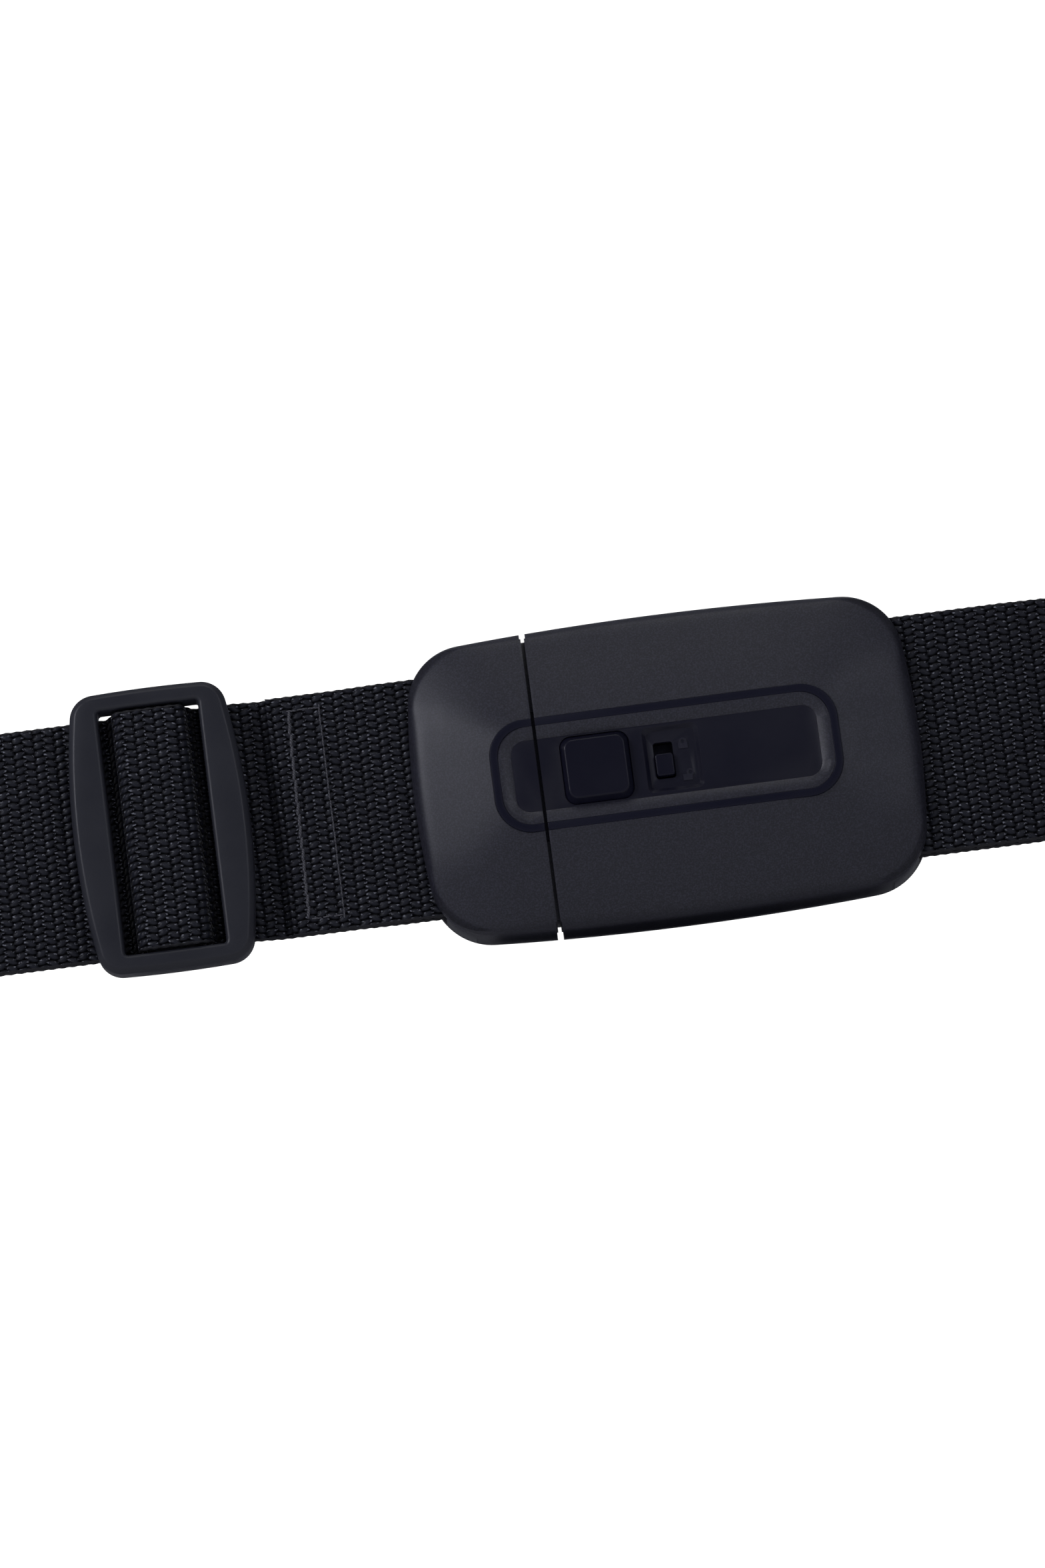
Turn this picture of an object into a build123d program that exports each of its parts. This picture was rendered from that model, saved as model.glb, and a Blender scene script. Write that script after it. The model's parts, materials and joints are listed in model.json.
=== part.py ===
"""Luggage strap: a 50 mm webbing belt that closes into a loop round a case.

A two-part buckle joins the ends: a tongue half (-X) with a forked steel blade, and a receiver half (+X)
with a push button, a sprung latch leaf and a small slide that locks the leaf. A tri-glide adjuster rides
on the webbing beside the tongue half.

Frame: millimetres. X runs along the front run of the belt, +Z is up across the webbing, and the buckle's
face looks along -Y. The origin is the centre of the buckle's flat rear face. "Depth" below is the distance
in front of that face, so y = -depth, and sketches on Plane.XZ extrude towards the front.
"""

from build123d import *
import math
import os

os.makedirs("parts", exist_ok=True)

# ------------------------------------------------------------------ driving dimensions
# webbing
WEB_W = 50.0  # width
WEB_T = 1.2  # thickness
LOOP_X0, LOOP_X1 = -232.0, 132.0  # inner face of the inner lap, left and right sides
LOOP_BACK = 152.0  # inner face of the back run
LOOP_R = 28.0  # inner radius of the loop's corners
LAP_IN, LAP_OUT = 6.5, 7.9  # depth of the middle of each lap on the front run
SPREAD_IN, SPREAD_OUT = 5.65, 8.75  # the same where the laps part round a strap bar

# buckle body
HALF_L, HALF_H = 52.3, 31.85  # half length and half height
CORNER_X, CORNER_Z, CORNER_R = 49.6, 29.9, 12.5  # where the bowed sides meet, and the rounding there
CROWN = 18.9  # depth of the pillow-shaped face at its middle, before its top is flattened
END_DROP, SIDE_DROP = 6.1, 6.2  # how far the face falls at its ends and sides
PLATEAU = 18.0  # depth of the flat field that carries the controls
WALL = 2.0
SPLIT_L, SPLIT_R = -26.35, -25.65  # the two mating faces
PARTING = (SPLIT_L + SPLIT_R) / 2
LIP = 1.25  # lip on the tongue half that closes the parting gap
LIP_GAP = 0.2
COVER_FRONT = 4.65  # front edge of the rear covers
COVER_FIT = 0.12  # gap round the rear covers

# rounded shoulder between side walls and face: depth, inset from the outline
SHOULDER = [
    (8.5, 0.0), (10.2, 0.25), (11.4, 0.8), (12.3, 1.6),
    (13.2, 3.2), (14.3, 5.2), (16.5, 8.5), (18.6, 11.0),
]

# steel plates
BAR_T = 1.6  # strap bar and tongue blade thickness
MID = 7.2  # depth of the middle of the strap bars and the blade
PLATE_REAR, PLATE_FRONT = MID - BAR_T / 2, MID + BAR_T / 2
PLATE_H, PLATE_R = 56.4, 2.5
BAR_IN, BAR_OUT = 39.6, 43.4  # strap bar edges, measured from the buckle's centre
SLOT_Z = WEB_W / 2 + 0.7  # half height of the webbing slots
BLADE_Z, FORK_Z, TIP_X = 14.0, 5.2, -7.0  # half heights of blade and fork gap, and blade tip
BLADE_GAP = 0.15  # room above and below the blade
BLADE_SEAT = PLATE_REAR - 0.1  # front of the sills and rails under the blade

# dished field for the controls
RING_X, RING_Z, RING_R, RING_W = 35.7, 11.75, 7.5, 1.65  # trim line: half sizes, radius, width
BEVEL_W, BEVEL_H = 2.65, 0.9  # sloped band inside the trim line
FIELD_X, FIELD_Z, FIELD_R = RING_X - RING_W, RING_Z - RING_W, RING_R - RING_W  # inside the trim line
PAN_X, PAN_Z, PAN_R = FIELD_X - BEVEL_W, FIELD_Z - BEVEL_W, 3.0  # inside the sloped band
FLOOR = PLATEAU - BEVEL_H  # depth of the control panel's face
SEAT_D = 15.3  # seat of the panel inlay
PAD_D = 13.4  # rear of the thick field under the controls
TRIM_SEAT = PLATEAU - 1.6  # bottom of the trim groove
INSERT_FIT = 0.03  # gap at each side of the panel and the trim line

# button and lock
BUTTON_X, BUTTON_SIZE, BUTTON_TOP = -14.28, 14.1, 18.7
BUTTON_OPEN, BUTTON_OPEN_R = BUTTON_SIZE + 0.16, 2.4
LOCK_X, LOCK_Z, LOCK_TRAVEL = -0.45, -1.1, 2.2
LOCK_SLOT_X, LOCK_SLOT_LEN, LOCK_SLOT_Z = 4.0, 7.6, -0.1  # width, length and centre of the slot
CAP_REAR = 13.1  # rear of the raised caps of button and lock

# latch
LEAF_D, LEAF_T = 4.9, 0.8  # rear face and thickness of the latch leaf
LEAF_FRONT = LEAF_D + LEAF_T
HOOK_Z = 9.6  # middle of the hooks and of the windows they catch
RIVETS = [(11.6, 6.0), (11.6, -6.0)]
GUIDE_X0, GUIDE_X1, GUIDE_Z = -22.1, 4.0, 16.0

# screws
SCREW_Z = 24.0
TONGUE_SCREWS = [(-31.8, SCREW_Z), (-31.8, -SCREW_Z)]
RECEIVER_SCREWS = [(13.2, SCREW_Z), (13.2, -SCREW_Z), (-19.0, SCREW_Z), (-19.0, -SCREW_Z)]
POST_R = 2.4  # screw posts in the shells
POST_GAP = 0.06  # gap from each post to the steel plate
PLATE_HOLE_R = 1.1

# adjuster
ADJUSTER_X = -103.9  # centre
ADJUSTER_REAR, ADJUSTER_FRONT = 8.7, 14.9
CENTRE_BAR = 4.9  # half width of its centre bar
CENTRE_BAR_REAR, CENTRE_BAR_FRONT, CENTRE_BAR_R = 10.05, 12.5, 1.1
CENTRE_BAR_MID = (CENTRE_BAR_REAR + CENTRE_BAR_FRONT) / 2
CENTRE_BAR_T = CENTRE_BAR_FRONT - CENTRE_BAR_REAR
WRAP_GAP = 0.1  # between the centre bar and each layer of webbing over it

# reach of cutting blocks, past every face of the buckle
FAR = 60.0  # along x and z
BEHIND, DEEP = -5.0, 40.0  # along the depth

# name, direction of its outer end, mating face, screw places
HALVES = (("tongue", -1, SPLIT_L, TONGUE_SCREWS), ("receiver", 1, SPLIT_R, RECEIVER_SCREWS))


# ------------------------------------------------------------------ helpers
def save(name, builder):
    """Label a finished piece and write its file."""
    piece = builder.part
    piece.label = name
    export_step(piece, f"parts/{name}.step")


def slab(x0, x1, z0, z1, rear=BEHIND, front=DEEP, mode=Mode.ADD):
    """Axis-aligned block; the ends of its x and z ranges may come in either order."""
    with Locations(((x0 + x1) / 2, -(rear + front) / 2, (z0 + z1) / 2)):
        Box(abs(x1 - x0), front - rear, abs(z1 - z0), mode=mode)


def keep_between(x0, x1):
    """Cut the active part down to an x range."""
    slab(x0, x1, -FAR, FAR, mode=Mode.INTERSECT)


def posts(points, radius, rear, front, mode=Mode.ADD):
    """Round posts or holes that run along the depth, at (x, z) points."""
    with Locations(*[(x, -(rear + front) / 2, z) for x, z in points]):
        Cylinder(radius, front - rear, rotation=(90, 0, 0), mode=mode)


def plate(width, height, radius, x, z, rear, front, mode=Mode.ADD):
    """Rounded rectangle in the face plane, between two depths."""
    with BuildSketch(Plane.XZ.offset(rear)) as flat:
        with Locations((x, z)):
            RectangleRounded(width, height, radius)
    extrude(flat.sketch, amount=front - rear, mode=mode)


def frustum(low, high, mode=Mode.ADD):
    """Loft between two rounded rectangles, each (width, height, radius, x, z, depth)."""
    ends = []
    for width, height, radius, x, z, depth in (low, high):
        with BuildSketch(Plane.XZ.offset(depth)) as flat:
            with Locations((x, z)):
                RectangleRounded(width, height, radius)
        ends.append(flat.sketch)
    loft(ends, mode=mode)


def span(x0, x1, height, radius, mode=Mode.ADD):
    """Rounded rectangle from x0 to x1 in the active sketch, centred on its x axis."""
    with Locations(((x0 + x1) / 2, 0)):
        RectangleRounded(x1 - x0, height, radius, mode=mode)


def bowed_sides(corner_x, corner_z, half_length, half_height, x=0):
    """Start, middle and end of the four arcs of a rectangle with bowed sides."""
    left, right = x - corner_x, x + corner_x
    return [
        ((left, corner_z), (x, half_height), (right, corner_z)),
        ((right, corner_z), (x + half_length, 0), (right, -corner_z)),
        ((right, -corner_z), (x, -half_height), (left, -corner_z)),
        ((left, -corner_z), (x - half_length, 0), (left, corner_z)),
    ]


def band_side(points, shift):
    """One edge of a band: start, tangent arcs and end, moved sideways by shift (left is positive)."""
    places = [Vector(x, y) for x, y, _ in points]
    runs = [(after - before).normalized() for before, after in zip(places, places[1:])]
    normals = [Vector(-run.Y, run.X) for run in runs]
    arcs = []
    for i in range(1, len(points) - 1):
        run_in, run_out = runs[i - 1], runs[i]
        turn = run_in.X * run_out.Y - run_in.Y * run_out.X
        miter = shift / (1 + normals[i - 1].dot(normals[i]))
        corner = places[i] + (normals[i - 1] + normals[i]) * miter
        radius = points[i][2] - (shift if turn > 0 else -shift)
        half_turn = math.radians(run_in.get_angle(run_out) / 2)
        setback = radius * math.tan(half_turn)
        bulge = radius / math.cos(half_turn) - radius
        middle = corner + (run_out - run_in).normalized() * bulge
        arcs.append((corner - run_in * setback, middle, corner + run_out * setback))
    return places[0] + normals[0] * shift, arcs, places[-1] + normals[-1] * shift


def band(points, thickness):
    """Face of constant thickness along a path of (x, y, corner radius)."""
    sides = [band_side(points, sign * thickness / 2) for sign in (1, -1)]
    with BuildLine() as edge:
        for at, arcs, end in sides:
            for arc_start, arc_middle, arc_end in arcs:
                if (arc_start - at).length > 1e-4:  # arcs that touch have no line between them
                    Line(at, arc_start)
                    at = arc_start
                ThreePointArc(at, arc_middle, arc_end)
                at = arc_end
            Line(at, end)
        Line(sides[0][0], sides[1][0])
        Line(sides[0][2], sides[1][2])
    make_face(edge.edges())


# ------------------------------------------------------------------ outlines, on the buckle's rear plane
with BuildSketch(Plane.XZ) as outline:
    with BuildLine():
        for arc in bowed_sides(CORNER_X, CORNER_Z, HALF_L, HALF_H):
            ThreePointArc(*arc)
    make_face()
    fillet(outline.vertices(), CORNER_R)


def inset_outline(inset, depth=0.0):
    """Sketch of the buckle's outline moved inwards, at a depth."""
    with BuildSketch(Plane.XZ.offset(depth)) as moved:
        add(outline.sketch_local)
        if inset:
            offset(amount=-inset, kind=Kind.INTERSECTION)
    return moved


inner_outline = inset_outline(WALL)
plate_outline = inset_outline(WALL + 0.15)
cover_hollow = inset_outline(WALL + 1.6)
cover_outline = inset_outline(WALL + COVER_FIT)


# ------------------------------------------------------------------ the crowned body
def face_depth(x, z):
    """Pillow shape of the face."""
    return CROWN - END_DROP * (abs(x) / HALF_L) ** 4.4 - SIDE_DROP * (abs(z) / HALF_H) ** 2.06


def behind_crown(drop):
    """Everything behind the crowned face moved back by drop."""
    xs = range(-56, 57, 8)
    zs = range(-36, 37, 6)
    grid = [[Vector(x, -(face_depth(x, z) - drop), z) for z in zs] for x in xs]
    with BuildPart() as solid:
        extrude(Face.make_surface_from_array_of_points(grid, tol=0.01), amount=DEEP, dir=(0, 1, 0))
    return solid.part


crown = behind_crown(0.0)
crown_in = behind_crown(WALL + LIP_GAP)  # inside the front shells
crown_recess = behind_crown(WALL)  # a little more room, for the recess that takes the lip

with BuildPart() as shoulder:
    extrude(outline.sketch, amount=SHOULDER[0][0])
    for (depth0, inset0), (depth1, inset1) in zip(SHOULDER, SHOULDER[1:]):
        low = inset_outline(inset0, depth0)
        high = inset_outline(inset1, depth1)
        loft([low.sketch, high.sketch], ruled=True)

# whole outer body, before it is cut into its shells
with BuildPart() as body:
    extrude(outline.sketch, amount=PLATEAU)
    add(crown, mode=Mode.INTERSECT)
    add(shoulder.part, mode=Mode.INTERSECT)
    # the rear face is flat in the middle and curves forward towards both ends
    with BuildSketch(Plane.XY):
        with BuildLine():
            Polyline((-60, -3.6), (-60, -30), (60, -30), (60, -3.6))
            ThreePointArc((60, -3.6), (47, -0.95), (33, 0))
            Line((33, 0), (-33, 0))
            ThreePointArc((-33, 0), (-47, -0.95), (-60, -3.6))
        make_face()
    extrude(amount=40, both=True, mode=Mode.INTERSECT)

# space inside the front shells
with BuildPart() as hollow:
    extrude(inner_outline.sketch, amount=DEEP)
    add(crown_in, mode=Mode.INTERSECT)


# ------------------------------------------------------------------ shell builders
def trim_band(fit, rear, front, mode=Mode.ADD):
    """Band of the trim line, narrowed by fit on both edges."""
    with BuildSketch(Plane.XZ.offset(rear)) as ring:
        RectangleRounded(2 * (RING_X - fit), 2 * (RING_Z - fit), RING_R - fit)
        RectangleRounded(
            2 * (FIELD_X + fit), 2 * (FIELD_Z + fit), FIELD_R + fit, mode=Mode.SUBTRACT
        )
    extrude(ring.sketch, amount=front - rear, mode=mode)


def control_openings(rear, slot_room, slot_radius):
    """Cut the openings for the button and the lock slider."""
    with BuildSketch(Plane.XZ.offset(rear)) as openings:
        with Locations((BUTTON_X, 0)):
            RectangleRounded(BUTTON_OPEN, BUTTON_OPEN, BUTTON_OPEN_R)
        with Locations((LOCK_X, LOCK_SLOT_Z)):
            RectangleRounded(LOCK_SLOT_X + slot_room, LOCK_SLOT_LEN + slot_room, slot_radius)
    extrude(openings.sketch, amount=8, mode=Mode.SUBTRACT)


def lip_solid(inset, roof, panel_gap, x0, x1, rear):
    """Slice under the shell's walls and face at the parting line, clear of the panel."""
    with BuildPart(mode=Mode.PRIVATE) as lip:
        extrude(inset_outline(inset).sketch, amount=DEEP)
        add(roof, mode=Mode.INTERSECT)
        slab(-FAR, FAR, -13.6, 13.6, SEAT_D - panel_gap, mode=Mode.SUBTRACT)
        slab(x0, x1, -FAR, FAR, rear, mode=Mode.INTERSECT)
    return lip.part


def front_shell(end, split, screw_points):
    """Front shell from its mating face to its outer end, built in the active part."""
    outer = end * FAR
    add(body.part)
    keep_between(split, outer)
    with BuildPart(mode=Mode.PRIVATE) as room:
        add(hollow.part)
        keep_between(split + end * WALL, outer)
    add(room.part, mode=Mode.SUBTRACT)
    # thick field that carries the controls, and screw posts, kept inside the outer face
    with BuildPart(mode=Mode.PRIVATE) as extra:
        plate(2 * RING_X + 3, 2 * RING_Z + 3, RING_R + 1.5, 0, 0, PAD_D, PAD_D + 3.2)
        posts(screw_points, POST_R, PLATE_FRONT + POST_GAP, PAD_D)
        keep_between(split, outer)
    add(extra.part)
    posts(screw_points, 0.84, 0, 13.0, mode=Mode.SUBTRACT)
    # dished field: sloped band, panel seat and trim groove
    frustum(
        (2 * PAN_X, 2 * PAN_Z, PAN_R, 0, 0, FLOOR),
        (2 * FIELD_X, 2 * FIELD_Z, FIELD_R, 0, 0, PLATEAU + 0.02),
        mode=Mode.SUBTRACT,
    )
    plate(2 * PAN_X, 2 * PAN_Z, PAN_R, 0, 0, SEAT_D, SEAT_D + 6, mode=Mode.SUBTRACT)
    trim_band(0, TRIM_SEAT, TRIM_SEAT + 6, mode=Mode.SUBTRACT)
    # slot for the webbing in the end wall
    slab(end * 44, outer, -SLOT_Z, SLOT_Z, -1, 9.7, mode=Mode.SUBTRACT)
    # lip on the tongue half, recess for it in the receiver half
    if end < 0:
        lip_end = SPLIT_L + LIP
        add(lip_solid(WALL + LIP_GAP, crown_in, 0.3, SPLIT_L - 0.5, lip_end, 2.5))
    else:
        recess_end = SPLIT_L + LIP + LIP_GAP
        recess = lip_solid(WALL - 0.1, crown_recess, 0.15, SPLIT_R - 0.5, recess_end, 2.3)
        add(recess, mode=Mode.SUBTRACT)
    # slot for the blade in the mating wall
    blade_room = BLADE_Z + BLADE_GAP
    slab(-30, -20, -blade_room, blade_room, -1, PLATE_FRONT + 0.1, mode=Mode.SUBTRACT)
    # relief nicks at the parting line
    for sign in (-1, 1):
        slab(
            PARTING - 0.6, PARTING + 0.6, sign * 29.7, sign * 40, -1, DEEP, mode=Mode.SUBTRACT
        )


def rear_shell(end, split, screw_points):
    """Rear cover, let into the front shell from behind, built in the active part."""
    outer = end * FAR
    wall_in = split + end * WALL  # inner face of the mating wall
    add(body.part)
    slab(split, outer, -FAR, FAR, BEHIND, COVER_FRONT, mode=Mode.INTERSECT)
    with BuildPart(mode=Mode.PRIVATE) as fit:
        extrude(cover_outline.sketch, amount=DEEP)
        keep_between(wall_in + end * COVER_FIT, outer - end * COVER_FIT)
        # tongues that close the open slots in the end wall and the mating wall
        slab(end * 40, outer, -SLOT_Z + COVER_FIT, SLOT_Z - COVER_FIT)
        slab(split, wall_in + end, -BLADE_Z, BLADE_Z)
    add(fit.part, mode=Mode.INTERSECT)
    with BuildPart(mode=Mode.PRIVATE) as room:
        extrude(cover_hollow.sketch, amount=DEEP)
        slab(wall_in + end * 1.4, outer - end * 1.4, -FAR, FAR, WALL, mode=Mode.INTERSECT)
        slab(end * 36, outer, -FAR, FAR, BEHIND, 3.4, mode=Mode.SUBTRACT)
    add(room.part, mode=Mode.SUBTRACT)
    # screw posts and the sill under the blade
    posts(screw_points, POST_R, WALL - 0.2, PLATE_REAR - POST_GAP)
    slab(split, wall_in - end * 0.05, -BLADE_Z, BLADE_Z, 2.5, BLADE_SEAT)
    # screw clearance holes and head recesses
    posts(screw_points, 1.12, -1, 8, mode=Mode.SUBTRACT)
    posts(screw_points, 2.05, -1, 1.5, mode=Mode.SUBTRACT)


# ------------------------------------------------------------------ front shells
with BuildPart() as tongue_front_shell:
    front_shell(-1, SPLIT_L, TONGUE_SCREWS)
save("tongue_front_shell", tongue_front_shell)

with BuildPart() as receiver_front_shell:
    front_shell(1, SPLIT_R, RECEIVER_SCREWS)
    control_openings(PAD_D - 1, slot_room=0.4, slot_radius=0.8)
save("receiver_front_shell", receiver_front_shell)

# ------------------------------------------------------------------ rear shells
with BuildPart() as tongue_rear_shell:
    rear_shell(-1, SPLIT_L, TONGUE_SCREWS)
save("tongue_rear_shell", tongue_rear_shell)

with BuildPart() as receiver_rear_shell:
    rear_shell(1, SPLIT_R, RECEIVER_SCREWS)
    for sign in (-1, 1):  # rails that carry the blade
        slab(-23.7, GUIDE_X1, sign * 12.6, sign * BLADE_Z, WALL - 0.2, BLADE_SEAT)
    slab(10.1, 14.0, -11, 11, WALL - 0.2, LEAF_D - 0.05)  # seat of the latch leaf
    posts(RIVETS, 0.8, 3.0, 8.0, mode=Mode.SUBTRACT)
save("receiver_rear_shell", receiver_rear_shell)

# ------------------------------------------------------------------ steel plates
with BuildPart() as tongue_plate:
    with BuildSketch(Plane.XZ.offset(PLATE_REAR)):
        span(-BAR_OUT, -29.0, PLATE_H, PLATE_R)
        add(plate_outline.sketch_local, mode=Mode.INTERSECT)
        span(-BAR_IN, -34.8, 2 * SLOT_Z, 1.0, mode=Mode.SUBTRACT)
        span(-34.0, TIP_X, 2 * BLADE_Z, 1.5)
        span(-23.0, 0, 2 * FORK_Z, 2.0, mode=Mode.SUBTRACT)  # fork gap
        with Locations((-13.9, HOOK_Z), (-13.9, -HOOK_Z)):  # windows for the hooks
            RectangleRounded(5.2, 4.0, 0.4, mode=Mode.SUBTRACT)
        with Locations(*TONGUE_SCREWS):
            Circle(PLATE_HOLE_R, mode=Mode.SUBTRACT)
    extrude(amount=BAR_T)
save("tongue_plate", tongue_plate)

with BuildPart() as receiver_plate:
    with BuildSketch(Plane.XZ.offset(PLATE_REAR)):
        span(8.4, BAR_OUT, PLATE_H, PLATE_R)
        add(plate_outline.sketch_local, mode=Mode.INTERSECT)
        span(17.0, BAR_IN, 2 * SLOT_Z, 1.0, mode=Mode.SUBTRACT)
        with Locations(*RECEIVER_SCREWS[:2]):
            Circle(PLATE_HOLE_R, mode=Mode.SUBTRACT)
    extrude(amount=BAR_T)
save("receiver_plate", receiver_plate)

# ------------------------------------------------------------------ latch
HOOK_X0, HOOK_X1 = -15.9, -11.45  # foot of the ramp and square face
HOOK_TIP_X, HOOK_FRONT = -12.6, 7.7
HOOK_ROOT = LEAF_D + 0.4  # sunk into the leaf

with BuildPart() as latch_leaf:
    with BuildSketch(Plane.XZ.offset(LEAF_D)):
        with Locations((-4.2, 0)):  # spring strip
            RectangleRounded(18.0, 10.0, 1.0)
        with Locations((-14.3, 0)):  # cross strip that carries the hooks
            RectangleRounded(5.4, 24.4, 1.5)
        with Locations((9.4, 0)):  # riveted foot
            RectangleRounded(9.2, 20.0, 1.5)
        with Locations(*RIVETS):
            Circle(1.0, mode=Mode.SUBTRACT)
    extrude(amount=LEAF_T)
    for sign in (-1, 1):  # ramped hooks, square towards +X
        with BuildSketch(Plane.XY.offset(sign * HOOK_Z)):
            with BuildLine():
                Polyline(
                    (HOOK_X1, -HOOK_ROOT), (HOOK_X1, -HOOK_FRONT), (HOOK_TIP_X, -HOOK_FRONT),
                    (HOOK_X0, -LEAF_FRONT), (HOOK_X0, -HOOK_ROOT), close=True,
                )
            make_face()
        extrude(amount=1.7, both=True)
save("latch_leaf", latch_leaf)

with BuildPart() as latch_rivets:
    posts(RIVETS, 0.76, 3.05, 6.3)
    posts(RIVETS, 1.5, 6.0, 6.3)  # heads
save("latch_rivets", latch_rivets)

# bridge over the blade, with a side wall above and below
with BuildPart() as guide_frame:
    slab(GUIDE_X0, GUIDE_X1, -GUIDE_Z, GUIDE_Z, 8.12, 9.3)
    for sign in (-1, 1):
        side_in = sign * (BLADE_Z + BLADE_GAP)
        slab(GUIDE_X0, GUIDE_X1, side_in, sign * GUIDE_Z, WALL + 0.05, 8.2)
    slab(-20, -8, -4.5, 4.5, 8, 10, mode=Mode.SUBTRACT)
save("guide_frame", guide_frame)

# ------------------------------------------------------------------ button and its springs
BUTTON_R = 2.3
BUTTON_WAIST = FLOOR - 0.3  # depth where the sides start to taper
FLANGE_SIZE, FLANGE_REAR, FLANGE_T = 16.4, 11.9, 1.4
STEM_FRONT = 12.5  # stems end inside the flange

with BuildPart() as release_button:
    plate(BUTTON_SIZE, BUTTON_SIZE, BUTTON_R, BUTTON_X, 0, CAP_REAR, BUTTON_WAIST)
    frustum(
        (BUTTON_SIZE, BUTTON_SIZE, BUTTON_R, BUTTON_X, 0, BUTTON_WAIST),
        (12.3, 12.0, 1.9, BUTTON_X, 0, BUTTON_TOP),
    )
    fillet(release_button.faces().sort_by(Axis.Y)[0].edges(), 0.5)
    plate(FLANGE_SIZE, FLANGE_SIZE, 2.5, BUTTON_X, 0, FLANGE_REAR, FLANGE_REAR + FLANGE_T)
    # crossed stems behind the flange; the upright one reaches to the leaf
    slab(BUTTON_X - 0.6, BUTTON_X + 0.6, -3.6, 3.6, LEAF_FRONT + 0.1, STEM_FRONT)
    slab(BUTTON_X - 2.2, BUTTON_X + 2.2, -0.6, 0.6, 8.4, STEM_FRONT)
save("release_button", release_button)

SPRING_Z, SPRING_REAR, SPRING_H = 6.4, 9.56, 2.05
SPRING_PITCH, SPRING_R, WIRE_R = 0.7, 1.25, 0.2

with BuildPart() as button_springs:
    for sign in (-1, 1):
        with BuildLine() as coil:
            Helix(
                pitch=SPRING_PITCH, height=SPRING_H, radius=SPRING_R,
                center=(BUTTON_X, -SPRING_REAR, sign * SPRING_Z), direction=(0, -1, 0),
            )
        with BuildSketch(Plane(origin=coil.line @ 0, z_dir=coil.line % 0)):
            Circle(WIRE_R)
        sweep(is_frenet=True)
save("button_springs", button_springs)

# ------------------------------------------------------------------ lock slider and detent
BASE_X, BASE_Z = 3.2, 4.8  # half sizes of the slider's base
ARM_X, ARM_Z, ARM_REAR = LOCK_X - 1.4, 1.5, 9.45  # right side, half height and rear of the arm

with BuildPart() as lock_slider:
    plate(3.7, 4.6, 0.6, LOCK_X, LOCK_Z, CAP_REAR, 17.0)
    fillet(lock_slider.faces().sort_by(Axis.Y)[0].edges(), 0.3)
    slab(LOCK_X - BASE_X, LOCK_X + BASE_X, LOCK_Z - BASE_Z, LOCK_Z + BASE_Z, 12.2, 13.32)
    for z in (LOCK_Z - LOCK_TRAVEL / 2, LOCK_Z + LOCK_TRAVEL / 2):  # detent notches
        posts([(LOCK_X + BASE_X, z)], 0.5, 12.0, 13.5, mode=Mode.SUBTRACT)
    # arm: back from the base, then left behind the button's flange
    slab(LOCK_X - 3.0, ARM_X, LOCK_Z - ARM_Z, LOCK_Z + ARM_Z, ARM_REAR, 12.4)
    slab(LOCK_X - 7.6, ARM_X, LOCK_Z - ARM_Z, LOCK_Z + ARM_Z, ARM_REAR, 10.2)
save("lock_slider", lock_slider)

DETENT_X = LOCK_X + 3.4  # left face of the detent spring
DETENT_REAR, DETENT_FRONT = 12.35, 13.3

with BuildPart() as lock_detent_spring:
    slab(DETENT_X, LOCK_X + 3.7, -6.4, 6.4, DETENT_REAR, DETENT_FRONT)
    posts([(DETENT_X, 0)], 0.42, DETENT_REAR, DETENT_FRONT)
    for sign in (-1, 1):
        slab(DETENT_X, LOCK_X + 5.6, sign * 6.2, sign * 7.0, DETENT_REAR, DETENT_FRONT)
save("lock_detent_spring", lock_detent_spring)


# ------------------------------------------------------------------ panel inlays
def inlay(x0, x1):
    """Panel let into the field between x0 and x1, built in the active part."""
    width, height = 2 * (PAN_X - INSERT_FIT), 2 * (PAN_Z - INSERT_FIT)
    plate(width, height, PAN_R - INSERT_FIT, 0, 0, SEAT_D + 0.02, FLOOR)
    keep_between(x0, x1)


with BuildPart() as tongue_panel:
    inlay(-FAR, SPLIT_L)
save("tongue_panel", tongue_panel)

POCKET_X, POCKET_Z, POCKET_DEPTH = 1.3, 0.05, 1.0
# padlock marks: x, z, how far the shackle is shifted
PADLOCKS = [(3.7, 3.0, 0.0), (3.9, -3.7, 0.5)]

with BuildPart() as control_panel:
    inlay(SPLIT_R, FAR)
    control_openings(SEAT_D - 1, slot_room=0, slot_radius=0.6)
    # shallow pocket with sloped walls round the lock slider
    frustum(
        (9.9, 11.9, 0.9, POCKET_X, POCKET_Z, FLOOR - POCKET_DEPTH),
        (11.5, 13.6, 1.2, POCKET_X, POCKET_Z, FLOOR + 0.01),
        mode=Mode.SUBTRACT,
    )
    # raised padlock marks, shut above and open below
    with BuildSketch(Plane.XZ.offset(FLOOR - POCKET_DEPTH - 0.05)):
        for x, z, lift in PADLOCKS:
            shackle = (x + lift * 1.2, z + 0.35 + lift * 0.4)
            with Locations((x, z - 0.45)):
                Rectangle(1.9, 1.3)
            with Locations(shackle):
                Circle(0.75)
            with Locations(shackle):
                Circle(0.42, mode=Mode.SUBTRACT)
    extrude(amount=0.22)
save("control_panel", control_panel)

# ------------------------------------------------------------------ trim lines and screws
TRIM_REAR, TRIM_T = TRIM_SEAT + 0.02, 1.6
SCREW_REAR, RECESS_FRONT = 0.4, 1.0  # depths of the cross recess
CROSS_L, CROSS_W = 1.1, 0.25  # half length and half width of its arms

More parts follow.
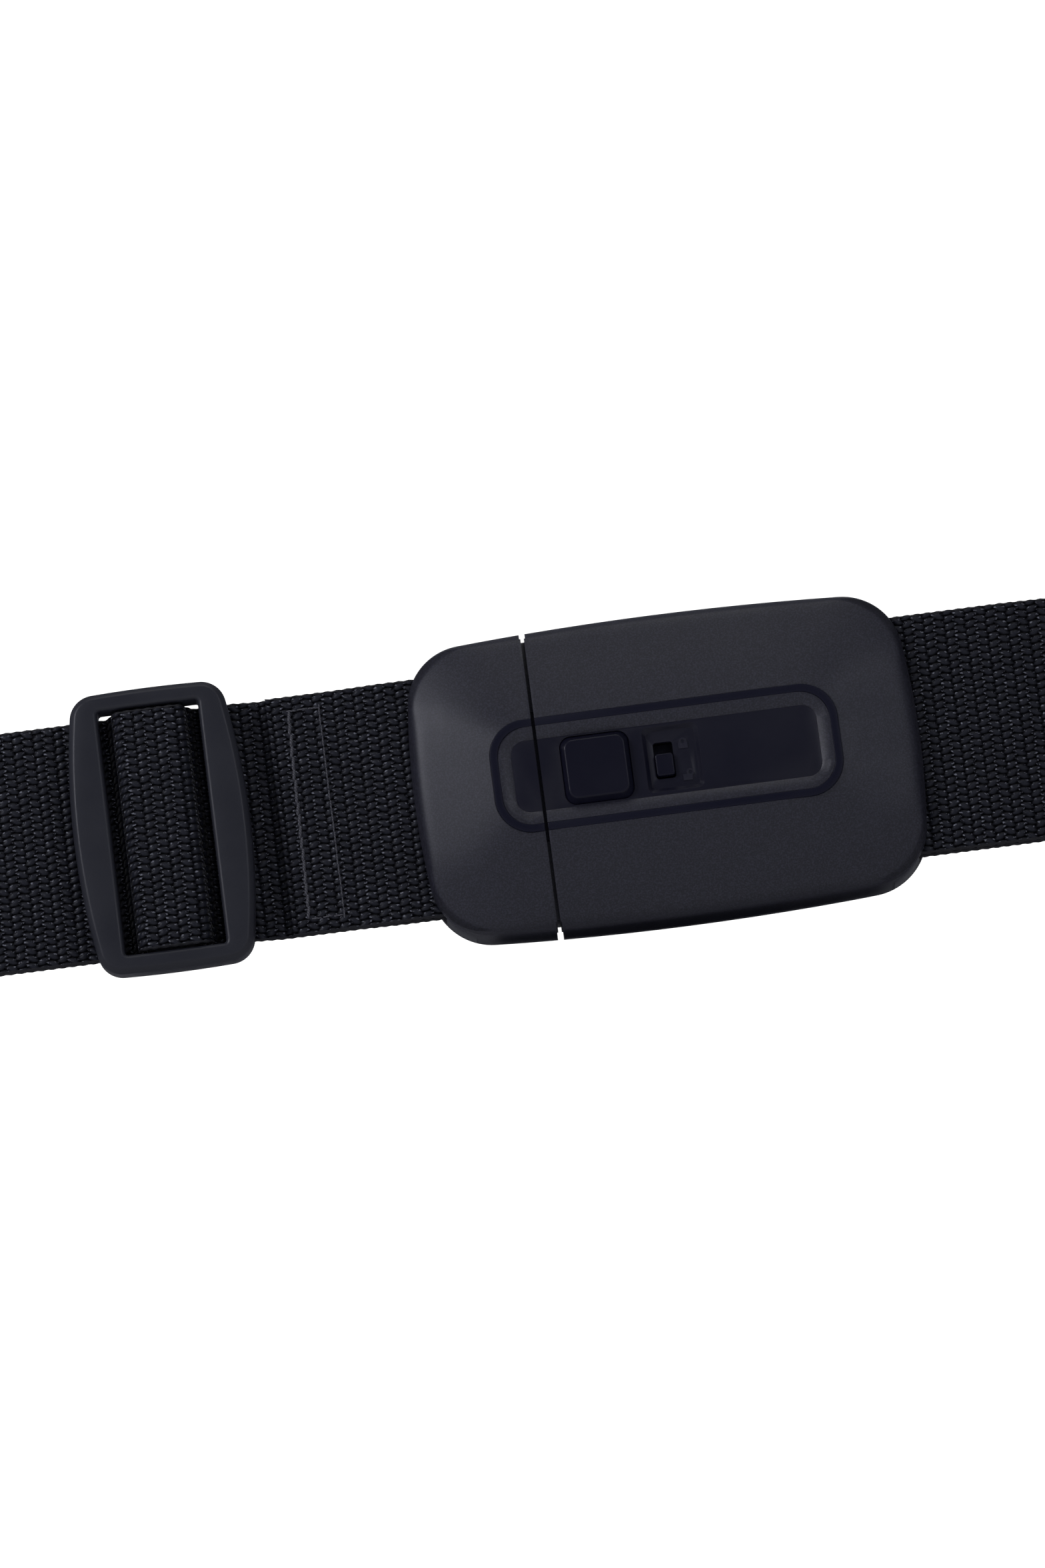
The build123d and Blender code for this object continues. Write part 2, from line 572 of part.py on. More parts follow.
for half, end, split, screw_points in HALVES:
    with BuildPart() as trim:
        trim_band(INSERT_FIT, TRIM_REAR, TRIM_REAR + TRIM_T)
        keep_between(split, end * FAR)
    save(f"{half}_trim", trim)

    with BuildPart() as screws:
        posts(screw_points, 0.8, 1.0, 12.6)
        posts(screw_points, 1.95, 0.5, 1.45)  # heads
        for x, z in screw_points:
            for arm_x, arm_z in ((CROSS_L, CROSS_W), (CROSS_W, CROSS_L)):
                slab(
                    x - arm_x, x + arm_x, z - arm_z, z + arm_z, SCREW_REAR, RECESS_FRONT,
                    mode=Mode.SUBTRACT,
                )
    save(f"{half}_screws", screws)

# ------------------------------------------------------------------ adjuster
with BuildPart() as adjuster_frame:
    with BuildSketch(Plane.XZ.offset(ADJUSTER_REAR)) as rim_outline:
        with BuildLine():
            for arc in bowed_sides(15.3, 29.0, 18.1, 29.45, x=ADJUSTER_X):
                ThreePointArc(*arc)
        make_face()
        fillet(rim_outline.vertices(), 5.2)
    extrude(amount=ADJUSTER_FRONT - ADJUSTER_REAR)
    chamfer(adjuster_frame.faces().sort_by(Axis.Y)[0].edges(), 1.1)  # front
    chamfer(adjuster_frame.faces().sort_by(Axis.Y)[-1].edges(), 0.5)  # rear
    plate(
        20.8, 51.0, 0.7, ADJUSTER_X, 0, ADJUSTER_REAR - 1, ADJUSTER_REAR + 9, mode=Mode.SUBTRACT
    )
    # front edge of the window
    front_edges = adjuster_frame.edges().filter_by(
        lambda e: e.center().Y < -(ADJUSTER_FRONT - 0.01)
    )
    window_rim = front_edges.filter_by(
        lambda e: abs(e.center().X - ADJUSTER_X) < 10.7 and abs(e.center().Z) < 25.8
    )
    chamfer(window_rim, 0.6)
    with BuildSketch(Plane.XY.offset(-26.5)):
        with Locations((ADJUSTER_X, -CENTRE_BAR_MID)):
            RectangleRounded(2 * CENTRE_BAR, CENTRE_BAR_T, CENTRE_BAR_R)
    extrude(amount=53.0)
save("adjuster_frame", adjuster_frame)

# webbing end sewn round the adjuster's centre bar
WRAP = WRAP_GAP + WEB_T  # outer face of this layer, from the bar
with BuildPart() as webbing_end_loop:
    with BuildSketch(Plane.XY):
        with Locations((ADJUSTER_X, -CENTRE_BAR_MID)):
            for grow, mode in ((WRAP, Mode.ADD), (WRAP_GAP, Mode.SUBTRACT)):
                RectangleRounded(
                    2 * (CENTRE_BAR + grow), CENTRE_BAR_T + 2 * grow, CENTRE_BAR_R + grow, mode=mode
                )
    extrude(amount=WEB_W / 2, both=True)
save("webbing_end_loop", webbing_end_loop)

# webbing folded over the centre bar, between the two outer bars
FOLD_D = CENTRE_BAR_FRONT + WRAP + WRAP_GAP + WEB_T / 2
with BuildPart() as webbing_fold:
    with BuildSketch(Plane.XY):
        band(
            [
                (ADJUSTER_X + 8.4, -9.05, 0),
                (ADJUSTER_X + 7.1, -11.2, 2.0),
                (ADJUSTER_X + 7.1, -FOLD_D, 2.2),
                (ADJUSTER_X - 7.1, -FOLD_D, 2.2),
                (ADJUSTER_X - 7.1, -11.2, 2.0),
                (ADJUSTER_X - 8.4, -9.05, 0),
            ],
            WEB_T,
        )
    extrude(amount=WEB_W / 2, both=True)
save("webbing_fold", webbing_fold)

# ------------------------------------------------------------------ webbing and its box stitch
NOSE = BAR_IN - 1.2  # middle of the webbing where it turns round a strap bar
TURN = (SPREAD_OUT - SPREAD_IN) / 2  # radius of that turn
IN_OFF = WEB_T / 2  # middle of each lap, from the loop's inner face
OUT_OFF = IN_OFF + (LAP_OUT - LAP_IN)
IN_R, OUT_R = LOOP_R + IN_OFF, LOOP_R + OUT_OFF

# x, y, corner radius along the middle of the webbing
WEBBING_PATH = [
    # short tail, round the tongue's strap bar and back
    (-80.0, -LAP_OUT, 0),
    (-66.0, -LAP_OUT, 8),
    (-57.0, -SPREAD_OUT, 8),
    (-NOSE, -SPREAD_OUT, TURN),
    (-NOSE, -SPREAD_IN, TURN),
    (-57.0, -SPREAD_IN, 8),
    (-66.0, -LAP_IN, 8),
    (-82.0, -LAP_IN, 4),
    (-87.0, -LAP_OUT, 4),
    # outer lap round the loop
    (LOOP_X0 - OUT_OFF, -LAP_OUT, OUT_R),
    (LOOP_X0 - OUT_OFF, LOOP_BACK + OUT_OFF, OUT_R),
    (LOOP_X1 + OUT_OFF, LOOP_BACK + OUT_OFF, OUT_R),
    (LOOP_X1 + OUT_OFF, -LAP_OUT, OUT_R),
    # round the receiver's strap bar
    (82.0, -LAP_OUT, 8),
    (72.0, -SPREAD_OUT, 8),
    (NOSE, -SPREAD_OUT, TURN),
    (NOSE, -SPREAD_IN, TURN),
    (72.0, -SPREAD_IN, 8),
    (82.0, -LAP_IN, 8),
    # inner lap round the loop
    (LOOP_X1 + IN_OFF, -LAP_IN, IN_R),
    (LOOP_X1 + IN_OFF, LOOP_BACK + IN_OFF, IN_R),
    (LOOP_X0 - IN_OFF, LOOP_BACK + IN_OFF, IN_R),
    (LOOP_X0 - IN_OFF, -LAP_IN, IN_R),
    (-94.5, -LAP_IN, 0),
]

with BuildPart() as webbing:
    with BuildSketch(Plane.XY):
        band(WEBBING_PATH, WEB_T)
    extrude(amount=WEB_W / 2, both=True)
save("webbing", webbing)

STITCH_T, STITCH_W, STITCH_GAP = 0.26, 0.6, 0.02
STITCH_FRONT = LAP_OUT + WEB_T / 2 + STITCH_GAP  # rear of the stitches in front of the laps
STITCH_BACK = LAP_IN - WEB_T / 2 - STITCH_GAP - STITCH_T  # rear of those behind them
STITCH_ROW_Z = 21.9

with BuildPart() as box_stitching:
    for depth in (STITCH_FRONT, STITCH_BACK):
        with BuildSketch(Plane.XZ.offset(depth)):
            for row, x in enumerate((-76.6, -75.4, -69.2)):  # upright rows
                with GridLocations(0, 2.4, 1, 18):
                    with Locations((x, 0.3 * row - 0.3)):
                        SlotOverall(1.95, STITCH_W, rotation=90)
            for z in (STITCH_ROW_Z, -STITCH_ROW_Z):
                with Locations((-73.4, z), (-71.2, z)):
                    SlotOverall(1.9, STITCH_W)
        extrude(amount=STITCH_T)
save("box_stitching", box_stitching)
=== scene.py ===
"""A two-part moulded buckle on a closed belt of doubled webbing, with a slide adjuster.

The buckle is centred on the origin and its face looks towards -Y. The belt's front run lies
along X, its width stands along Z, and the loop closes behind the buckle at +Y.
Sizes are in millimetres unless noted, and "depth" is the distance from y = 0 towards -Y.
"""

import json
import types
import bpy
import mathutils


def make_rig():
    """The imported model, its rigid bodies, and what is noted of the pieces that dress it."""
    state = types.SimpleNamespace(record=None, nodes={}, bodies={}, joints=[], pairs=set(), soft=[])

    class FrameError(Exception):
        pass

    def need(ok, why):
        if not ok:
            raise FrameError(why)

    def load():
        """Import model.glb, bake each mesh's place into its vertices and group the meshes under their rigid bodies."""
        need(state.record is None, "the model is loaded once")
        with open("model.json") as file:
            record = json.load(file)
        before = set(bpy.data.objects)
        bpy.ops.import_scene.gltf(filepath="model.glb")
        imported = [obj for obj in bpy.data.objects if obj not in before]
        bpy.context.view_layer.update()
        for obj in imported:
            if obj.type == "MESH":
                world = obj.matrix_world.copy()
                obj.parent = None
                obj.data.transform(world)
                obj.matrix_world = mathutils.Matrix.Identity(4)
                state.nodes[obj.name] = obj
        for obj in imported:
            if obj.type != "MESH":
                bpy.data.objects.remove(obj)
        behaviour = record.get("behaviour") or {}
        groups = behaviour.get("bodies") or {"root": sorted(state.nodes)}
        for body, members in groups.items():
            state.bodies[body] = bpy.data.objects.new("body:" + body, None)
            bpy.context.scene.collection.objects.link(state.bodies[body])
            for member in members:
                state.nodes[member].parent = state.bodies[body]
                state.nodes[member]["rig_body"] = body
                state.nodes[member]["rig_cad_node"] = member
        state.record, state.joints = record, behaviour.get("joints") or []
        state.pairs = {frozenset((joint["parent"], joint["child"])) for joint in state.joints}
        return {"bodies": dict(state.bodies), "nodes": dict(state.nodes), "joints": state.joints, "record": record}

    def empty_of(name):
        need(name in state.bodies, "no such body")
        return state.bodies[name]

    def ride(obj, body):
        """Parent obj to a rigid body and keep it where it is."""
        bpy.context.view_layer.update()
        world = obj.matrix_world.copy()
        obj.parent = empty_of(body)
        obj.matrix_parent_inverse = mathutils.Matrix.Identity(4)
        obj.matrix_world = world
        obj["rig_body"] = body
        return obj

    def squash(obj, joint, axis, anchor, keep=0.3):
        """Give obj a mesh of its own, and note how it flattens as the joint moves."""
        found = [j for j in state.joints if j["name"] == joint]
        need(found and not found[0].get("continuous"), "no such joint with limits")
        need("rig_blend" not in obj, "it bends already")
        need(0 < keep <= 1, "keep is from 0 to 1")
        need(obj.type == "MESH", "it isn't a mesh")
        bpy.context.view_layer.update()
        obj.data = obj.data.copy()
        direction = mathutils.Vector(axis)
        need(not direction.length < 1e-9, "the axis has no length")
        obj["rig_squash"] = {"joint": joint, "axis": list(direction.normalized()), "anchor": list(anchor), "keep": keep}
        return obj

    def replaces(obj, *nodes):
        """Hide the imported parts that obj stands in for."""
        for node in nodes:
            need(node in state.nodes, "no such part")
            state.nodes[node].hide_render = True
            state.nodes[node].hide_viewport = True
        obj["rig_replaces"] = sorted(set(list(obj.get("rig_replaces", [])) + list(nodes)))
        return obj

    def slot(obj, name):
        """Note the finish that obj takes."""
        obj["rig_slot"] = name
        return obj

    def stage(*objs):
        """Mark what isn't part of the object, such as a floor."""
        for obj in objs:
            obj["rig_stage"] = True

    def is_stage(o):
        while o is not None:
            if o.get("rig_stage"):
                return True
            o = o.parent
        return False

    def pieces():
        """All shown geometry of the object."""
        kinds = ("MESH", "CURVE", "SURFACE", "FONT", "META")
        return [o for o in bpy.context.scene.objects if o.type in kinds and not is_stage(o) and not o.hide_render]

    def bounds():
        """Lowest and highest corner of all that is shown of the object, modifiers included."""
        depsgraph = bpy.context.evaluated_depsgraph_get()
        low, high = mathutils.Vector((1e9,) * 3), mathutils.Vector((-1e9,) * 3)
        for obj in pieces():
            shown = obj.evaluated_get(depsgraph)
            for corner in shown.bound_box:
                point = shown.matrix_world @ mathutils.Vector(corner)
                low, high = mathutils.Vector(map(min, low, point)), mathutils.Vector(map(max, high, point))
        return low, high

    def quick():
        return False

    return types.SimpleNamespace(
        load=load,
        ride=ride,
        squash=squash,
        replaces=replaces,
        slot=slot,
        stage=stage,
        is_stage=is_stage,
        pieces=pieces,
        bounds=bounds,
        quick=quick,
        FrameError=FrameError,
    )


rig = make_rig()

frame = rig.load()

import json
import math
import random
import bpy
import bmesh
import numpy as np
from mathutils import Vector, Matrix

BOX_AT_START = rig.bounds()
random.seed(7)
rng = np.random.default_rng(11)
scene = bpy.context.scene
NODES = frame["nodes"]
MM = 0.001  # metres in a millimetre

# ------------------------------------------------------------------ sizes
# Outline of the buckle face: a rounded rectangle with bulging sides
HALF_LENGTH, HALF_HEIGHT, CORNER_R = 52.1, 31.9, 12.5
SIDE_BULGE, EDGE_BULGE = 0.0028, 0.00081  # per mm, on the x and the z sides
PARTING_X = -26.0  # gap between the two halves of the buckle

# Crown of the face: its depth in the middle, and (drop, power) towards the rims
CROWN_DEPTH, CROWN_CAP = 18.9, 18.0
CROWN_X, CROWN_Z = (6.1, 4.4), (6.2, 2.06)

# Rounded ring about the controls, and the ramp that swells towards it
RING_HALF_X, RING_HALF_Z, RING_R = 35.7, 11.75, 7.5
RAMP_HEIGHT, RAMP_LENGTH = 0.9, 6.0

# Shoulder at the rim of the face
SHOULDER_DEPTH, SHOULDER_RISE = 8.5, 3.7
SHOULDER_FALLOFF, SHOULDER_SLOPE = 0.65, 0.35
SHOULDER_OVERRUN = 0.8  # how far outside the outline the profile carries on
SHOULDER_BLEND = 1.2

# Webbing section
WEB_T, WEB_W = 1.2, 50.0
EDGE_ROLL = 0.45  # width of the rolled edge

# Weave: two families of yarns that float half a period apart
PERIOD, ROW = 4.27, 1.6  # along and across the webbing
YARN_HALF = 0.78
SKEW, FLOAT = 0.7, 1.9  # slant of the crowns; how quickly a float falls off at its ends
YARNS = ((0.0, SKEW, 0.0), (-ROW / 2, -SKEW, 0.5))  # shift across, slant, phase in periods
UV_UNIT = 100.0  # millimetres of webbing to one unit of the "weave" UV map

# Depths of the two layers where they lie together, and where they part inside the buckle
INNER_LAP, OUTER_LAP = 6.5, 7.9
INNER_SPREAD, OUTER_SPREAD = 5.65, 8.75
NOSE_X = 38.4  # where each end turns back inside the buckle
TURN_R = (OUTER_SPREAD - INNER_SPREAD) / 2

# The belt's loop, and each layer's offset from it
LEFT_X, RIGHT_X, BACK_Y, LOOP_R = -232.0, 132.0, 152.0, 28.0
INNER_OFF = WEB_T / 2
OUTER_OFF = WEB_T / 2 + (OUTER_LAP - INNER_LAP)
INNER_R, OUTER_R = LOOP_R + INNER_OFF, LOOP_R + OUTER_OFF

# Adjuster's centre bar
ADJUSTER_X = -103.9
BAR_HALF_X, BAR_REAR, BAR_FRONT = 4.9, 10.05, 12.5
BAR_CLEARANCE = 0.1


# ------------------------------------------------------------------ shader helpers
class Signal:
    """An output socket; arithmetic on it adds Math nodes to its tree."""

    def __init__(self, socket):
        self.socket = socket
        self.tree = socket.id_data

    def output(self, key):
        """Another output of the same node."""
        return Signal(self.socket.node.outputs[key])

    def __add__(self, other):
        return calc("ADD", self, other)

    def __radd__(self, other):
        return calc("ADD", other, self)

    def __sub__(self, other):
        return calc("SUBTRACT", self, other)

    def __rsub__(self, other):
        return calc("SUBTRACT", other, self)

    def __mul__(self, other):
        return calc("MULTIPLY", self, other)

    def __truediv__(self, other):
        return calc("DIVIDE", self, other)

    def __pow__(self, other):
        return calc("POWER", self, other)

    def __gt__(self, other):
        return calc("GREATER_THAN", self, other)

    def __lt__(self, other):
        return calc("LESS_THAN", self, other)

    def __abs__(self):
        return calc("ABSOLUTE", self)


def feed(socket, value):
    """Link a Signal to an input, or set the input's value."""
    if isinstance(value, Signal):
        value.tree.links.new(value.socket, socket)
    else:
        socket.default_value = value


def add_node(tree, kind, inputs=None, output=0, **settings):
    """Add a shader node, set its properties, feed its inputs and return one output."""
    node = tree.nodes.new("ShaderNode" + kind)
    for key, value in settings.items():
        setattr(node, key, value)
    for key, value in (inputs or {}).items():
        feed(node.inputs[key], value)
    return Signal(node.outputs[output])


def tree_of(*values):
    return next(v.tree for v in values if isinstance(v, Signal))


def calc(operation, *operands):
    inputs = dict(enumerate(operands))
    return add_node(tree_of(*operands), "Math", inputs, operation=operation)


def maximum(a, b):
    return calc("MAXIMUM", a, b)


def minimum(a, b):
    return calc("MINIMUM", a, b)


def split(vector):
    first = add_node(vector.tree, "SeparateXYZ", {0: vector})
    return [first.output(i) for i in range(3)]


def combine(x, y, z=0.0):
    return add_node(tree_of(x, y, z), "CombineXYZ", {0: x, 1: y, 2: z})


def noise(vector, scale, detail=3.0, roughness=0.5):
    inputs = {"Scale": scale, "Detail": detail, "Roughness": roughness, "Vector": vector}
    return add_node(vector.tree, "TexNoise", inputs, output="Fac")


def ramp(value, span, to=(0.0, 1.0)):
    """Smooth step of a value over a span."""
    inputs = {"From Min": span[0], "From Max": span[1], "To Min": to[0], "To Max": to[1],
              "Value": value}
    return add_node(value.tree, "MapRange", inputs, interpolation_type="SMOOTHSTEP")


def mix_colour(factor, a, b):
    a, b = (c if isinstance(c, Signal) else (*c, 1) for c in (a, b))
    inputs = {0: factor, 6: a, 7: b}
    return add_node(tree_of(factor, a, b), "Mix", inputs, output=2, data_type="RGBA")


def scaled(colour, factor):
    return tuple(c * factor for c in colour)


def bump(height, strength, distance, normal=None):
    """Bump from a height; distance is in metres."""
    inputs = {"Strength": strength, "Distance": distance, "Height": height}
    if normal is not None:
        inputs["Normal"] = normal
    return add_node(height.tree, "Bump", inputs)


def object_vector(tree, scale=None):
    """Object coordinates in metres, stretched if a scale is given."""
    vector = add_node(tree, "TexCoord", output="Object")
    if scale is None:
        return vector
    return add_node(tree, "Mapping", {"Scale": scale, "Vector": vector})


def object_mm(tree):
    """Object x, depth and z in millimetres."""
    x, y, z = split(object_vector(tree))
    return x * 1000.0, y * -1000.0, z * 1000.0


def empty_tree(owner):
    """Turn on the nodes of a material or world and clear them."""
    owner.use_nodes = True
    owner.node_tree.nodes.clear()
    return owner.node_tree


def new_material(name):
    material = bpy.data.materials.new(name)
    return material, empty_tree(material)


def set_output(tree, kind, shader):
    feed(tree.nodes.new("ShaderNodeOutput" + kind).inputs[0], shader)


def set_principled(tree, inputs):
    set_output(tree, "Material", add_node(tree, "BsdfPrincipled", inputs))


# ------------------------------------------------------------------ plastic and steel
def plastic(name, colour, roughness, specular=0.3, grain=0.04, grain_scale=2600, mottle=0.08,
            rub=0.0, tint=None, face_normal=None):
    """Moulded plastic: spark grain, mottled colour and gloss, light rubbing.

    tint(base, colour) reworks the base colour. face_normal(tree) gives a normal for the grain
    to stand on, in place of the slow waviness.
    """
    material, tree = new_material(name)
    vector = object_vector(tree)
    fine = noise(vector, scale=grain_scale, detail=2.0, roughness=0.6)
    soft = noise(vector, scale=60, roughness=0.55)
    base = mix_colour(soft, scaled(colour, 1 - mottle), scaled(colour, 1 + mottle))
    if rub:
        scratches = object_vector(tree, scale=(0.35, 1, 1))
        scuff = noise(scratches, scale=900, detail=4.0, roughness=0.7)
        worn = tuple(min(1, c * 1.5 + 0.01) for c in colour)
        base = mix_colour(ramp(scuff, span=(0.62, 0.78), to=(0.0, rub)), base, worn)
    if tint:
        base = tint(base, colour)
    if face_normal:
        normal = bump(fine, strength=grain, distance=0.0002, normal=face_normal(tree))
    else:
        normal = bump(fine, strength=grain, distance=0.0002)
        waves = noise(vector, scale=180, detail=2.0)
        normal = bump(waves, strength=0.02, distance=0.001, normal=normal)
    set_principled(tree, {
        "Base Color": base,
        "Roughness": ramp(soft, span=(0.3, 0.7), to=(roughness - 0.04, roughness + 0.05)),
        "Specular IOR Level": specular,
        "Normal": normal,
    })
    return material


def steel(name, colour, roughness, along=(1, 1, 30)):
    """Bright steel with a drawn, brushed grain."""
    material, tree = new_material(name)
    grain = noise(object_vector(tree, scale=along), scale=700, detail=4.0, roughness=0.65)
    soft = noise(object_vector(tree), scale=120)
    set_principled(tree, {
        "Base Color": mix_colour(soft, scaled(colour, 0.86), colour),
        "Metallic": 1.0,
        "Roughness": ramp(grain, span=(0.3, 0.7), to=(roughness - 0.06, roughness + 0.1)),
        "Normal": bump(grain, strength=0.08, distance=0.0002),
    })
    return material


def rounded_distance(x, z, half_x, half_z, radius):
    """Signed distance from a rounded rectangle, negative inside."""
    past_x = x - (half_x - radius)
    past_z = z - (half_z - radius)
    out_x, out_z = maximum(past_x, 0.0), maximum(past_z, 0.0)
    length = calc("SQRT", out_x * out_x + out_z * out_z)
    return length + minimum(maximum(past_x, past_z), 0.0) - radius


def face_profile(x, z):
    """Depth of the moulded face at x, z, with its crown, shoulder and distance from the ring."""
    x, z = abs(x), abs(z)
    (drop_x, power_x), (drop_z, power_z) = CROWN_X, CROWN_Z
    crown = CROWN_DEPTH - ((x / HALF_LENGTH) ** power_x * drop_x
                           + (z / HALF_HEIGHT) ** power_z * drop_z)

    ring = maximum(rounded_distance(x, z, RING_HALF_X, RING_HALF_Z, RING_R), 0.0)
    swell = calc("EXPONENT", ring / -RAMP_LENGTH) * RAMP_HEIGHT

    warped_x = calc("MULTIPLY_ADD", z * z, SIDE_BULGE, x)
    warped_z = calc("MULTIPLY_ADD", x * x, EDGE_BULGE, z)
    outline = rounded_distance(warped_x, warped_z, HALF_LENGTH, HALF_HEIGHT, CORNER_R)
    inside = maximum(outline * -1.0, -SHOULDER_OVERRUN)
    rise = 1.0 - calc("EXPONENT", inside / -SHOULDER_FALLOFF)
    shoulder = (calc("MULTIPLY_ADD", rise, SHOULDER_RISE, SHOULDER_DEPTH)
                + inside * SHOULDER_SLOPE)
    depth = calc("SMOOTH_MIN", crown + swell, shoulder, SHOULDER_BLEND)
    return depth, crown, shoulder, ring


def smooth_face_normal(tree):
    """One smooth normal over crown, ramp and shoulder; the mesh's own normal elsewhere."""
    step = 0.08  # spacing for the slopes
    x, depth, z = object_mm(tree)
    here, crown, shoulder, ring = face_profile(x, z)
    slope_x = (here - face_profile(x + step, z)[0]) / step
    slope_z = (here - face_profile(x, z + step)[0]) / step
    smooth = add_node(tree, "VectorTransform", {0: combine(slope_x, -1.0, slope_z)},
                      vector_type="NORMAL", convert_from="OBJECT", convert_to="WORLD")

    # Only near the outer face, clear of the ring and of the parting gap
    steepness = calc("SQRT", slope_x * slope_x + slope_z * slope_z + 1.0)
    solid = minimum(minimum(crown, CROWN_CAP), shoulder)
    on_face = ramp(abs(depth - solid) / steepness, span=(1.2, 1.5), to=(1.0, 0.0))
    clear_ring = ring > 0.12
    clear_gap = abs(x - PARTING_X) > 0.8
    use = on_face * (clear_ring * clear_gap)

    own = add_node(tree, "NewGeometry", output="Normal")
    mixed = add_node(tree, "Mix", {0: use, 4: own, 5: smooth}, output=1, data_type="VECTOR")
    return add_node(tree, "VectorMath", {0: mixed}, operation="NORMALIZE")


def pearl_grain(base, colour):
    """Fine darker and lighter speckle over the base colour."""
    grain = noise(object_vector(base.tree), scale=3000, detail=1.0)
    dark = mix_colour(0.25, base, (0, 0, 0))
    light = mix_colour(0.5, base, scaled(colour, 2.0))
    return mix_colour(ramp(grain, span=(0.35, 0.75)), dark, light)


def pale_marks(base, _colour):
    """Pale print on the raised marks, found by where they stand."""
    x, depth, z = object_mm(base.tree)
    inside = [(value > low) * (value < high) for value, low, high in (
        (x, 2.2, 5.6),
        (abs(z), 1.4, 5.3),
        (depth, 16.17, 16.6),
    )]
    return mix_colour(inside[0] * inside[1] * inside[2], base, (0.0115, 0.0115, 0.0185))


NAVY = (0.0048, 0.0048, 0.0105)
SHELL = plastic("charcoal_shell", (0.0132, 0.0132, 0.0192), roughness=0.44, specular=0.27,
                grain=0.05, grain_scale=3800, mottle=0.05,
                tint=pearl_grain, face_normal=smooth_face_normal)
SHELL_REAR = plastic("charcoal_shell_rear", (0.016, 0.0162, 0.0205), roughness=0.55,
                     specular=0.24, grain=0.12, grain_scale=1500)
ADJUSTER = plastic("charcoal_adjuster", (0.0118, 0.0124, 0.0168), roughness=0.4,
                   specular=0.26, grain=0.09, grain_scale=2200, rub=0.05)
PANEL = plastic("navy_panel", NAVY, roughness=0.34, specular=0.2,
                grain=0.012, grain_scale=3000, mottle=0.04)
TRIM = plastic("navy_trim", (0.0040, 0.0042, 0.0108), roughness=0.4, specular=0.12,
               grain=0.01, grain_scale=3000, mottle=0.04)
BUTTON = plastic("charcoal_button", (0.0036, 0.0036, 0.0092), roughness=0.34, specular=0.16,
                 grain=0.02, grain_scale=2800, mottle=0.05)
MARKED_PANEL = plastic("navy_panel_marks", NAVY, roughness=0.34, specular=0.2,
                       grain=0.012, grain_scale=3000, mottle=0.04, tint=pale_marks)
ACETAL = plastic("black_acetal", (0.012, 0.012, 0.012), roughness=0.4, grain=0.03)
STEEL = steel("steel", (0.58, 0.59, 0.6), roughness=0.28)
SPRING = steel("spring_steel", (0.5, 0.5, 0.52), roughness=0.22, along=(30, 1, 1))


# ------------------------------------------------------------------ webbing materials
def yarn_family(along, across, shift, slant, phase):
    """Height of one family of yarns, and the mask of the painted highlights on the flank of its floats."""
    row = (across + shift) / ROW
    off_row = (row - calc("ROUND", row)) * ROW
    round_top = 1.0 - (abs(off_row) / YARN_HALF) ** 2.0
    profile = calc("SQRT", maximum(round_top, 0.0))
    angle = ((along + off_row * slant) / PERIOD + phase) * (2 * math.pi)
    wave = (0.5 + calc("COSINE", angle) * 0.5) ** FLOAT
    # painted highlight: two short strokes on the flank of each float
    flank = ramp(abs(off_row - 0.36), span=(0.08, 0.30), to=(1.0, 0.0))
    ends = ramp(abs(wave - 0.52), span=(0.12, 0.34), to=(1.0, 0.0))
    return profile * wave, flank * ends


def webbing_material():
    """Warp-faced plain weave with filaments along its yarns, painted shade in the gaps between the yarns and painted
    highlights on the flanks of the floats.
    """
    material, tree = new_material("webbing")
    u, v, _ = split(add_node(tree, "UVMap", uv_map="weave"))
    u = u * UV_UNIT
    v = v * UV_UNIT
    # uneven yarn tension
    tension = noise(combine(u * 0.02, v * 0.6), scale=3.0, detail=2.0)
    along = u + (tension - 0.5) * 0.7

    (height_a, painted_glint_a), (height_b, painted_glint_b) = [yarn_family(along, v, *yarn) for yarn in YARNS]
    height = maximum(height_a, height_b)
    painted_glint = maximum(painted_glint_a, painted_glint_b)

    # noises stretched along the yarn: fine filaments, broad patches, and the breakup of the painted highlights
    filaments = noise(combine(along * 0.25, v * 9.0), scale=1.0, detail=2.0, roughness=0.6)
    patches = noise(combine(u * 0.05, v * 0.12), scale=1.0, roughness=0.6)
    painted_glint_breakup = noise(combine(u * 2.2, v * 2.6), scale=1.0, detail=1.0)

    # painted shade: the gaps between the yarns are coloured near black and the crowns lighter, by the weave's height
    painted_gap_shade, high, painted_glint_colour = (0.0006, 0.0006, 0.001), (0.0058, 0.0064, 0.0108), (0.15, 0.155, 0.18)
    shade = ramp(height, span=(0.15, 0.95))
    colour = mix_colour(shade, painted_gap_shade, high)
    colour = mix_colour(ramp(patches, span=(0.3, 0.7), to=(0.0, 0.35)), colour,
                        mix_colour(shade, painted_gap_shade, scaled(high, 1.35)))
    # painted highlight: near-white glints coloured onto the float flanks, broken up by noise
    colour = mix_colour(ramp(painted_glint_breakup, span=(0.42, 0.66)) * (painted_glint * 0.85), colour, painted_glint_colour)
    filament_normal = bump(filaments, strength=0.25, distance=0.00012)
    set_principled(tree, {
        "Base Color": colour,
        "Roughness": ramp(filaments, span=(0.2, 0.8), to=(0.36, 0.56)),
        "Specular IOR Level": shade * 0.17,
        "Sheen Weight": 0.05,
        "Sheen Roughness": 0.4,
        "Normal": bump(height, strength=0.95, distance=0.00050, normal=filament_normal),
    })
    return material


def edge_material():
    """Cut and turned edges: the ends of the weft."""
    material, tree = new_material("webbing_edge")
    fuzz = noise(object_vector(tree), scale=1500, roughness=0.7)
    set_principled(tree, {
        "Base Color": mix_colour(fuzz, (0.004, 0.004, 0.005), (0.014, 0.014, 0.017)),
        "Roughness": 0.65,
        "Specular IOR Level": 0.2,
        "Normal": bump(fuzz, strength=0.5, distance=0.0003),
    })
    return material


